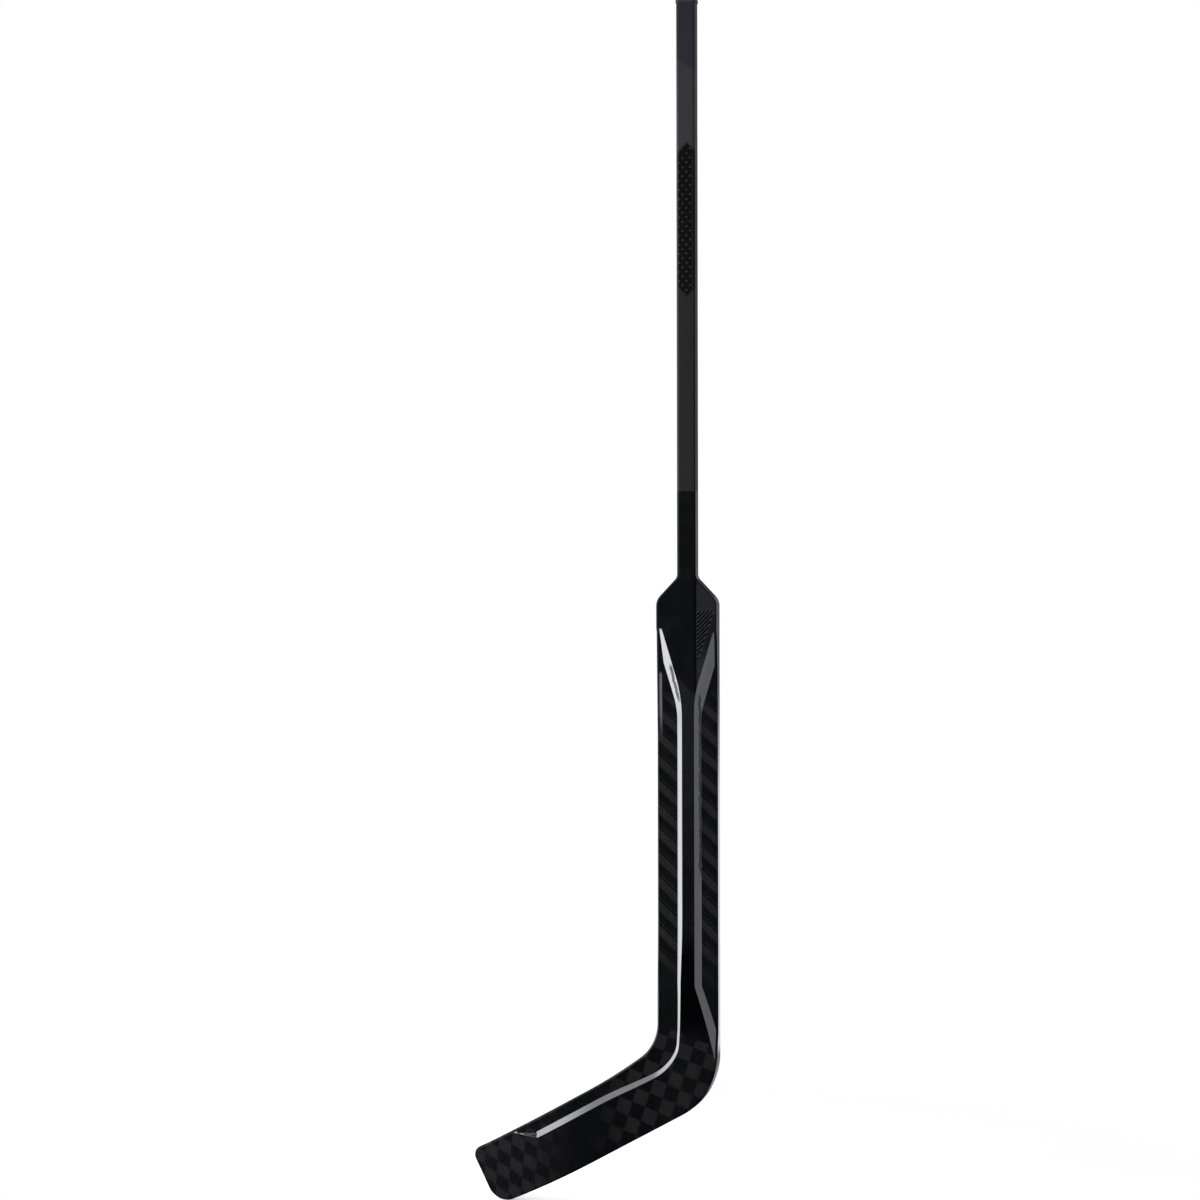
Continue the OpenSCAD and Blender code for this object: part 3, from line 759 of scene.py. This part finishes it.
def glossLeft(tree, place, x, y, z, forward, paddle):
    # from 1, the full gloss, down to nearly 0
    kept = times(step(z, *wear["keptLow"]), step(x, *wear["keptRight"]))
    inner = mixValue(rimMark(tree, "innerRim"), 1.0, mixValue(kept, *wear["rimGloss"]))
    turning = calc("MAXIMUM", step(forward, *wear["outerForward"]), step(z, *wear["outerLow"]))
    outer = mixValue(times(rimMark(tree, "outerRim"), turning), 1.0, wear["rimGloss"][0])
    worn = times(band(x, *wear["bend"]), calc("LESS_THAN", z, wear["bendTop"]), wear["bendWear"])
    if paddle:
        for side in ("right", "left"):
            worn = calc("MAXIMUM", worn, streakMask(place, x, y, z, streaks[side]))
    shine = times(mixValue(worn, 1.0, wear["wornGloss"]), inner, outer)
    if paddle:
        deep = times(deepSpine(y, z), step(forward, *wear["deepForward"]))
        shine = times(shine, mixValue(deep, 1.0, wear["deepGloss"]))
    return shine


def lacquerMaterial(name, paddle):
    material, tree, shader = newMaterial(
        name, gloss["lacquer"], gloss["roughness"],
        Coat_Weight=1.0, Coat_Roughness=gloss["coatRough"], IOR=gloss["ior"],
    )
    place, x, y, z = objectPlace(tree)
    fibres = noise(scaled(place, gloss["fibreScale"]), 1.0, 3)
    lighter = tuple(c * gloss["fibreLight"] for c in gloss["lacquer"])
    color = blendColor(step(fibres, *gloss["fibreStep"]), gloss["lacquer"], lighter)
    if paddle:
        color = flankColors(spineColors(color, x, y, z), x, y, z)
    check, tows, shown = weaveColors(place, x, z)
    soft = bump(noise(scaled(place, gloss["waveScale"]), 1.0, 2), *gloss["waveBump"])
    cloth = mixValue(shown, fibres, tows)
    haze = step(noise(place, gloss["hazeScale"], 3), *gloss["hazeStep"])
    forward = calc("ABSOLUTE", facing(tree)[1])
    shine = glossLeft(tree, place, x, y, z, forward, paddle)
    setInputs(
        shader,
        Base_Color=blendColor(shown, color, check),
        Normal=bump(cloth, *gloss["fibreBump"], soft),
        Coat_Normal=soft,
        Roughness=mixValue(haze, gloss["roughness"], gloss["roughness"] * gloss["hazeRoughness"]),
        Coat_Weight=shine,
        Specular_IOR_Level=times(shine, gloss["specular"]),
    )
    if paddle:
        # the left facet mirrors the panel more brightly at its upper end
        upper = times(band(z, *wear["bright"]), calc("LESS_THAN", x, 0.0))
        upper = times(upper, step(forward, *wear["brightForward"]))
        setInputs(shader, Coat_IOR=mixValue(upper, gloss["ior"], wear["brightIor"]))
    return material


paddleLacquer = lacquerMaterial("paddle_lacquer", paddle=True)
bladeLacquer = lacquerMaterial("blade_lacquer", paddle=False)
print("lacquers mixed")


# Where the sections lie: a place on the path and the longest step that leads up to it
stations = {
    "paddle": [
        (-1, 8), (flareEnd + shoulderRun, 1.2), (form["tipIn"], 1.8), (96, 0.8), (240, 1.8),
        (levelEnd, 4), (seam, 3),
    ],
    "blade": [
        (bendEnd + 5, 3), (pocketCorner - 3, 4), (pocketEnd + 2, 1.0), (toeStart, 4),
        (toeEnd - 4, 2), (toeEnd, 0.5),
    ],
}
paddlePath = stationRow(-form["collar"], seam, stations["paddle"])
bladePath = stationRow(seam, toeEnd, stations["blade"])
paddleFront = shellPiece("paddleFrontSkin", paddlePath, frontRow, paddleLacquer)
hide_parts("paddle_spine_skin")
paddleBack = shellPiece("paddleBackSkin", paddlePath, backRow, paddleLacquer)
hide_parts("paddle_flat_skin")
bladeFront = shellPiece("bladeFrontSkin", bladePath, frontRow, bladeLacquer)
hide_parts("blade_pocket_skin")
bladeBack = shellPiece("bladeBackSkin", bladePath, backRow, bladeLacquer)
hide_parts("blade_flat_skin")
print("skins laid up,", len(paddlePath), "and", len(bladePath), "sections")


# Shaft: a tube with rounded corners and painted zones

paint = {
    "butt": (0.0165, 0.0170, 0.0215), "grey": (0.0265, 0.0250, 0.0275), "matte": (0.0105, 0.0105, 0.0110),
    "grip": (0.0020, 0.0020, 0.0022), "line": (0.0045, 0.0045, 0.0052),
    "buttSlope": 0.674, "buttEdge": (0.7105, 0.7108), "greyEdge": (0.5713, 0.5714),
    "gripTop": 0.6013, "gripBottom": 0.3871, "gripMiddle": 0.003, "gripSlope": 1.07,
    "gripEdge": (0.0, 0.0003), "outline": ((-0.0024, -0.0021), (-0.0012, -0.0015)), "broad": (0.0062, 0.0068),
    "flakes": (2600, 2, 0.7), "flakeStep": (0.5, 0.8), "flakeShare": 0.25, "flakeBump": (0.00004, 0.5),
    "roughness": (0.42, 0.3), "coat": (0.6, 0.08), "coatRough": 0.1, "specular": 0.1,
    "corner": ((0.06, 0.16), (0.96, 0.85)),
}


def shaftPaint():
    material, tree, shader = newMaterial(
        "shaft_lacquer", paint["matte"], paint["roughness"][0], Coat_Weight=paint["coat"][0],
        Coat_Roughness=paint["coatRough"], Specular_IOR_Level=paint["specular"],
    )
    place, x, y, z = objectPlace(tree)
    # the grip zone's ends are pointed, with a line round them
    away = times(calc("ABSOLUTE", minus(x, paint["gripMiddle"])), paint["gripSlope"])
    fromTop = minus(minus(paint["gripTop"], away), z)
    fromBottom = minus(z, plus(paint["gripBottom"], away))
    inside = calc("MINIMUM", fromTop, fromBottom)
    broad = step(calc("ABSOLUTE", y), *paint["broad"])
    gripZone = times(step(inside, *paint["gripEdge"]), broad)
    line = times(band(inside, *paint["outline"]), broad)
    slanted = plus(z, times(x, paint["buttSlope"]))
    color = blendColor(step(z, *paint["greyEdge"]), paint["matte"], paint["grey"])
    color = blendColor(step(slanted, *paint["buttEdge"]), color, paint["butt"])
    color = blendColor(line, color, paint["line"])
    color = blendColor(gripZone, color, paint["grip"])
    flakes = noise(place, *paint["flakes"])
    glitter = times(step(flakes, *paint["flakeStep"]), paint["flakeShare"])
    # the corners are rubbed dull
    corner = band(calc("ABSOLUTE", facing(tree)[0]), *paint["corner"])
    setInputs(
        shader,
        Base_Color=blendColor(glitter, color, paint["grey"]),
        Roughness=mixValue(gripZone, *paint["roughness"]),
        Normal=bump(flakes, *paint["flakeBump"]),
        Coat_Weight=mixValue(corner, *paint["coat"]),
    )
    return material


shaftLacquer = shaftPaint()


def barRow(width, depth, radius, z):
    # one ring of a bar with rounded corners, anticlockwise seen from above
    row, steps = [], grid["barSteps"]
    for cx, cy, start in ((1, -1, -90), (1, 1, 0), (-1, 1, 90), (-1, -1, 180)):
        for i in range(steps + 1):
            g = radians(start + 90 * i / steps)
            row.append(Vector((
                cx * (width / 2 - radius) + radius * cos(g),
                cy * (depth / 2 - radius) + radius * sin(g),
                z,
            )) * mm)
    return row


def joinRings(a, b, size):
    # faces between two rings of points, which start at a and at b
    return [(a + j, a + (j + 1) % size, b + (j + 1) % size, b + j) for j in range(size)]


tube = {"sections": 60, "endInset": 0.15, "endHeight": 0.2, "leastRound": 0.5}


def ring(inset, z):
    radius = max(tube["leastRound"], form["shaftRound"] - inset)
    return barRow(form["shaftWidth"] - 2 * inset, form["shaftDepth"] - 2 * inset, radius, z)


def tubeMesh():
    # rings joined one after the other, the last back to the first
    low, high, wall = form["collar"], form["shaftLength"], form["shaftWall"]
    rings = [ring(tube["endInset"], low), ring(0.0, low + tube["endHeight"])]
    rings += [ring(0.0, mix(low, high, i / tube["sections"])) for i in range(1, tube["sections"])]
    rings += [ring(0.0, high - tube["endHeight"]), ring(tube["endInset"], high)]
    rings += [ring(wall, high), ring(wall, low)]
    size, faces = len(rings[0]), []
    for i in range(len(rings)):
        faces += joinRings(i * size, (i + 1) % len(rings) * size, size)
    return [v for r in rings for v in r], faces


shaftBody = makePiece("shaftBody", *tubeMesh(), shaftLacquer, "shaft_paint")
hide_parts("shaft_tube")
print("shaft drawn")


# Raised grip dots in the black zone, on both broad faces

dots = {
    "columns": (-8.2, -3.2, 2.4, 7.8), "pitch": 12.7,
    "radius": 1.65, "rise": 0.42, "sunk": 0.3, "turns": 14,
    "dome": [(1.0, 0.0), (0.93, 0.45), (0.75, 0.8), (0.4, 0.97)],
    "top": 594.0, "bottom": 396.0, "margin": 3,
}
rubber = {
    "color": (0.009, 0.009, 0.010), "dark": (0.0065, 0.0065, 0.0070), "light": (0.0125, 0.0125, 0.0135),
    "roughness": 0.6, "specular": 0.2, "grain": 1800, "detail": 3, "bump": (0.00005, 0.4),
}


def dotMesh(cx, cz, side):
    points, faces, turns = [], [], dots["turns"]
    face = form["shaftDepth"] / 2
    for scale, rise in [(1.0, -dots["sunk"] / dots["rise"])] + dots["dome"]:
        for i in range(turns):
            g = 2 * pi * i / turns
            points.append(Vector((
                cx + dots["radius"] * scale * cos(g),
                side * (face + rise * dots["rise"]),
                cz + dots["radius"] * scale * sin(g),
            )) * mm)
    tip, last = len(points), len(dots["dome"]) * turns
    points += [Vector((cx, side * (face + height), cz)) * mm for height in (dots["rise"], -dots["sunk"])]
    for k in range(len(dots["dome"])):
        faces += joinRings(k * turns, (k + 1) * turns, turns)
    for i in range(turns):
        n = (i + 1) % turns
        faces += [(last + i, last + n, tip), (n, i, tip + 1)]
    if side > 0:
        faces = [tuple(reversed(f)) for f in faces]
    return points, faces


def dotField(side):
    points, faces = [], []
    for k, cx in enumerate(dots["columns"]):
        z = dots["bottom"] + (dots["pitch"] / 2 if k % 2 else 0)
        while z < dots["top"]:
            away = paint["gripSlope"] * abs(cx - paint["gripMiddle"] / mm)
            low, high = paint["gripBottom"] / mm + away, paint["gripTop"] / mm - away
            if low + dots["margin"] < z < high - dots["margin"]:
                more, joined = dotMesh(cx, z, side)
                faces += [tuple(len(points) + i for i in f) for f in joined]
                points += more
            z += dots["pitch"]
    return points, faces


gripRubber = grainMaterial("grip_rubber", rubber)
for side, name in ((-1, "gripDotsFront"), (1, "gripDotsBack")):
    makePiece(name, *dotField(side), gripRubber, "shaft_paint")
print("grip dots set")


# Butt cap: rounded flange with a shallow dish, and the plug inside the tube

cap = {
    "height": 5.0, "lip": 1.0, "bevel": 1.3, "bevelSteps": 6, "underEdge": 0.35, "leastRound": 0.6,
    "dish": [(4.2, 0), (4.7, 0.25), (5.0, 0.5), (7.5, 0.5)],
    "plug": 34.0, "plugWall": 2.4, "plugTip": (0.8, 1.0), "bond": 0.15,
}
capPlastic = {
    "color": (0.012, 0.012, 0.014), "dark": (0.009, 0.009, 0.011), "light": (0.018, 0.018, 0.020),
    "roughness": 0.5, "specular": 0.5, "grain": 1500, "detail": 3, "bump": (0.00008, 0.5),
}


def capRing(inset, z):
    # inset from the flange's outline
    out = cap["lip"] - inset
    radius = max(cap["leastRound"], form["shaftRound"] + out)
    return barRow(form["shaftWidth"] + 2 * out, form["shaftDepth"] + 2 * out, radius, z)


def capMesh():
    base, top = form["shaftLength"], form["shaftLength"] + cap["height"]
    plugOut, under = cap["lip"] + form["shaftWall"] + cap["bond"], cap["underEdge"]
    rings = [capRing(plugOut, base), capRing(under, base), capRing(0.0, base + under)]
    for i in range(cap["bevelSteps"] + 1):
        g = pi / 2 * i / cap["bevelSteps"]
        rings.append(capRing(cap["bevel"] * (1 - cos(g)), top - cap["bevel"] * (1 - sin(g))))
    rings += [capRing(inset, top - sunk) for inset, sunk in cap["dish"]]
    size, flange = len(rings[0]), len(rings)
    # the plug hangs from the flange's inner ring
    low, plugIn, (tipInset, tipHeight) = base - cap["plug"], plugOut + cap["plugWall"], cap["plugTip"]
    rings += [capRing(plugOut, low + tipHeight), capRing(plugOut + tipInset, low)]
    rings += [capRing(plugIn, low), capRing(plugIn, base - cap["plugWall"])]
    faces = []
    for i in range(flange - 1):
        faces += joinRings(i * size, (i + 1) * size, size)
    faces.append(tuple((flange - 1) * size + j for j in range(size)))
    chain = [0] + [i * size for i in range(flange, len(rings))]
    for a, b in zip(chain, chain[1:]):
        faces += joinRings(b, a, size)
    faces.append(tuple(chain[-1] + j for j in reversed(range(size))))
    return [v for r in rings for v in r], faces


buttCap = makePiece("buttCapPlug", *capMesh(), grainMaterial("cap_plastic_black", capPlastic), "cap_plastic")
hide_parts("butt_cap")
print("cap fitted")


# Fine slanted ribs on the shoulder, shorter from top to bottom

hatch = {
    "left": 16.5, "right": (41.0, 18.0), "top": -52.0, "bottom": -120.0,
    "pitch": 5.6, "width": 2.7, "rise": 0.16,
    "profile": [(-1.0, -0.5), (-1.0, 0.0), (-0.7, 1.0), (0.7, 1.0), (1.0, 0.0), (1.0, -0.5)],
}
ink = {
    "color": (0.0010, 0.0011, 0.0014), "dark": (0.0006, 0.0007, 0.0009), "light": (0.0014, 0.0015, 0.0018),
    "roughness": 0.8, "specular": 0.03, "grain": 1400, "detail": 2, "bump": (0.00004, 0.4),
}


def hatchMesh():
    # every rib climbs at 45 degrees from the left line to the slanted right line or the level top
    points, faces, size = [], [], len(hatch["profile"])
    face = -form["shaftDepth"] / 2
    narrowing = (hatch["right"][0] - hatch["right"][1]) / (hatch["top"] - hatch["bottom"])
    half = Vector((-1, 0, 1)).normalized() * hatch["width"] / 2
    zLeft = hatch["top"] - hatch["pitch"]
    while zLeft > hatch["bottom"]:
        toTop = hatch["left"] + hatch["top"] - zLeft
        toRight = (hatch["right"][0] + narrowing * (zLeft - hatch["left"] - hatch["top"])) / (1 - narrowing)
        xRight = min(toTop, toRight)
        zRight = zLeft + xRight - hatch["left"]
        start = len(points)
        for end in (Vector((hatch["left"], 0, zLeft)), Vector((xRight, 0, zRight))):
            for across, rise in hatch["profile"]:
                point = end + half * across
                points.append(Vector((point.x, face - rise * hatch["rise"], point.z)) * mm)
        faces += joinRings(start + size, start, size)
        faces.append(tuple(start + j for j in range(size)))
        faces.append(tuple(start + size + j for j in reversed(range(size))))
        zLeft -= hatch["pitch"]
    return points, faces


inkMatte = grainMaterial("hatch_ink", ink)
makePiece("shoulderHatchRibs", *hatchMesh(), inkMatte, "carbon_gloss")
print("shoulder ribs set")


# Inner pieces keep their solids and get their own materials

foam = {
    "color": (0.66, 0.58, 0.36), "dark": (0.50, 0.42, 0.24), "light": (0.72, 0.64, 0.42),
    "roughness": 0.85, "cells": 900, "cellWall": (0.1, 0.7), "bump": (0.0003, 0.6),
}
woven = {
    "strands": (3000, 3000, 200),
    "bump": (0.0002, 0.5),
    "carbon": {"dark": (0.01, 0.01, 0.011), "light": (0.05, 0.05, 0.055), "pitch": 0.004, "roughness": 0.45},
    "glass": {"dark": (0.14, 0.17, 0.07), "light": (0.30, 0.34, 0.18), "pitch": 0.003, "roughness": 0.35},
}


def foamMaterial():
    material, tree, shader = newMaterial("core_foam", foam["color"], foam["roughness"])
    voronoi = newNode("TexVoronoi", {"Vector": objectPlace(tree)[0], "Scale": foam["cells"]})
    cells = voronoi.outputs["Distance"]
    color = blendColor(step(cells, *foam["cellWall"]), foam["dark"], foam["light"])
    setInputs(shader, Base_Color=color, Normal=bump(cells, *foam["bump"]))
    return material


def wovenMaterial(name, cloth):
    material, tree, shader = newMaterial(name, cloth["dark"], cloth["roughness"])
    place, x, y, z = objectPlace(tree)
    twill = calc("FRACT", over(plus(plus(x, y), z), cloth["pitch"]))
    tow = calc("PINGPONG", twill, 0.5)
    strands = noise(scaled(place, woven["strands"]), 1.0, 2)
    color = blendColor(times(tow, 2.0, strands), cloth["dark"], cloth["light"])
    setInputs(shader, Base_Color=color, Normal=bump(tow, *woven["bump"]))
    return material


inside = {
    "foam": foamMaterial(),
    "carbon_bare": wovenMaterial("bare_carbon", woven["carbon"]),
    "glass_laminate": wovenMaterial("glass_laminate_cloth", woven["glass"]),
    "carbon_gloss": paddleLacquer,
    "shaft_paint": shaftLacquer,
    "cap_plastic": buttCap.data.materials[0],
}
for row in frame["record"]["subparts"]:
    node = frame["nodes"][row["node"]]
    node.data.materials.clear()
    node.data.materials.append(inside[row["material_slot"]])
print("inner pieces finished")


# Studio: pale floor, one tall soft light at the left, weaker ones at the right and above

studio = {
    "floorSize": 14.0, "floorColor": (0.8, 0.8, 0.8), "floorRoughness": 0.9,
    "floorLift": 0.45, "floorFar": (0.25, 1.0),
    "worldFill": 0.25, "glossFront": 0.024, "glossTint": (0.97, 0.96, 1.05),
    "behind": ((-0.02, 0.12), (0.95, 0.75)), "leastY": 0.05, "behindHigh": 0.27, "behindLow": 1.7,
    "behindFall": (-0.035, -0.10), "behindFloor": (0.1, 0.5),
}

# Each lamp is a rectangle, given by its centre and two half sides. It shines along its own -Z,
# so across x up points away from the stick.
lamps = {
    "leftPanel": {
        "centre": (-1.0, -0.62, 0.02), "across": (0, -0.74, 0), "up": (0, 0, 0.93),
        "radiance": 5.5, "color": (0.95, 0.95, 1.0),
    },
    "rightPanel": {
        "centre": (0.84, -1.09, 0.2), "across": (0.545, 0.42, 0), "up": (0, 0, 1.08),
        "radiance": 1.3, "color": (0.90, 0.90, 1.0),
    },
    "topPanel": {
        "centre": (0.0, -0.3, 1.9), "across": (1.1, 0, 0), "up": (0, 1.1, 0),
        "radiance": 0.8, "color": (1, 1, 1),
    },
}


def softLight(name, centre, across, up, radiance, color):
    data = bpy.data.lights.new(name, "AREA")
    data.shape = "RECTANGLE"
    data.size, data.size_y = 2 * Vector(across).length, 2 * Vector(up).length
    data.energy = radiance * pi * data.size * data.size_y
    data.color = color
    lamp = newObject(name, data)
    xAxis, yAxis = Vector(across).normalized(), Vector(up).normalized()
    turn = Matrix((xAxis, yAxis, xAxis.cross(yAxis))).transposed().to_4x4()
    lamp.matrix_world = Matrix.Translation(Vector(centre)) @ turn
    lamp.visible_camera = False


for name, lamp in lamps.items():
    softLight(name, **lamp)

floorZ, half = cadBox[0][2], studio["floorSize"] / 2
floorMesh = bpy.data.meshes.new("floor")
floorCorners = [(x * half, y * half, floorZ) for x, y in ((-1, -1), (1, -1), (1, 1), (-1, 1))]
floorMesh.from_pydata(floorCorners, [], [(0, 1, 2, 3)])
floor = newObject("floor", floorMesh)


def seenDirectly(path):
    return calc("MAXIMUM", path.outputs["Is Camera Ray"], path.outputs["Is Transmission Ray"])


def behindRight(x, y):
    # the brighter band of the room behind the stick on the right, seen only in the gloss
    return band(over(x, calc("MAXIMUM", y, studio["leastY"])), *studio["behind"])


def floorMaterial():
    # lit by the lamps near the stick, white further off, and dim to mirror rays
    material, tree, shader = newMaterial("pale_floor", studio["floorColor"], studio["floorRoughness"])
    place, x, y, z = objectPlace(tree)
    path = tree.nodes.new("ShaderNodeLightPath")
    seen = seenDirectly(path)
    lift = newNode("Emission", {"Strength": times(seen, studio["floorLift"])})
    near = newNode("AddShader", {0: shader.outputs[0], 1: lift.outputs[0]})
    glow = tree.nodes.new("ShaderNodeEmission")
    away = calc("SQRT", plus(calc("POWER", x, 2.0), calc("POWER", y, 2.0)))
    far = times(step(away, *studio["floorFar"]), seen)
    direct = newNode("MixShader", {0: far, 1: near.outputs[0], 2: glow.outputs[0]})
    behind = times(behindRight(x, y), step(y, *studio["behindFloor"]))
    level = mixValue(behind, studio["glossFront"], studio["behindLow"])
    mirrored = newNode("Emission", {"Color": studio["glossTint"], "Strength": level})
    glossy = path.outputs["Is Glossy Ray"]
    surface = newNode("MixShader", {0: glossy, 1: direct.outputs[0], 2: mirrored.outputs[0]})
    setInputs(tree.nodes["Material Output"], Surface=surface.outputs[0])
    return material


def dressWorld(world):
    # white to the camera, a dim room with the brighter band to mirror rays, and a soft fill to the rest
    world.use_nodes = True
    tree = world.node_tree
    tree.nodes.clear()
    path = tree.nodes.new("ShaderNodeLightPath")
    glossy = path.outputs["Is Glossy Ray"]
    x, y, z = partsOf(tree.nodes.new("ShaderNodeTexCoord").outputs["Generated"])
    low = mixValue(step(z, *studio["behindFall"]), studio["behindHigh"], studio["behindLow"])
    room = mixValue(behindRight(x, y), studio["glossFront"], low)
    level = mixValue(seenDirectly(path), mixValue(glossy, studio["worldFill"], room), 1.0)
    tint = blendColor(glossy, (1, 1, 1), studio["glossTint"])
    background = newNode("Background", {"Color": tint, "Strength": level})
    newNode("OutputWorld", {"Surface": background.outputs[0]})


floorMesh.materials.append(floorMaterial())
bpy.context.scene.world = bpy.data.worlds.new("studio")
dressWorld(bpy.context.scene.world)
bpy.context.scene.view_settings.view_transform = "Standard"
print("studio lit")


# Camera at the photograph's height and angle, with the photograph's slight lean

view = {
    "place": (0.9142, -3.0012, -0.0364), "yaw": radians(19.185), "lean": radians(0.105),
    "focalPixels": 2240.5, "pictureWidth": 1200, "sensor": 36, "clip": (0.05, 60),
}
cameraData = bpy.data.cameras.new("photographView")
cameraData.lens = view["focalPixels"] / view["pictureWidth"] * view["sensor"]
cameraData.sensor_width = view["sensor"]
cameraData.clip_start, cameraData.clip_end = view["clip"]
camera = newObject("photographView", cameraData)
upright = Matrix.Rotation(pi / 2, 4, "X")
turn = Matrix.Rotation(view["yaw"], 4, "Z") @ upright @ Matrix.Rotation(-view["lean"], 4, "Z")
camera.matrix_world = Matrix.Translation(Vector(view["place"])) @ turn
bpy.context.scene.camera = camera
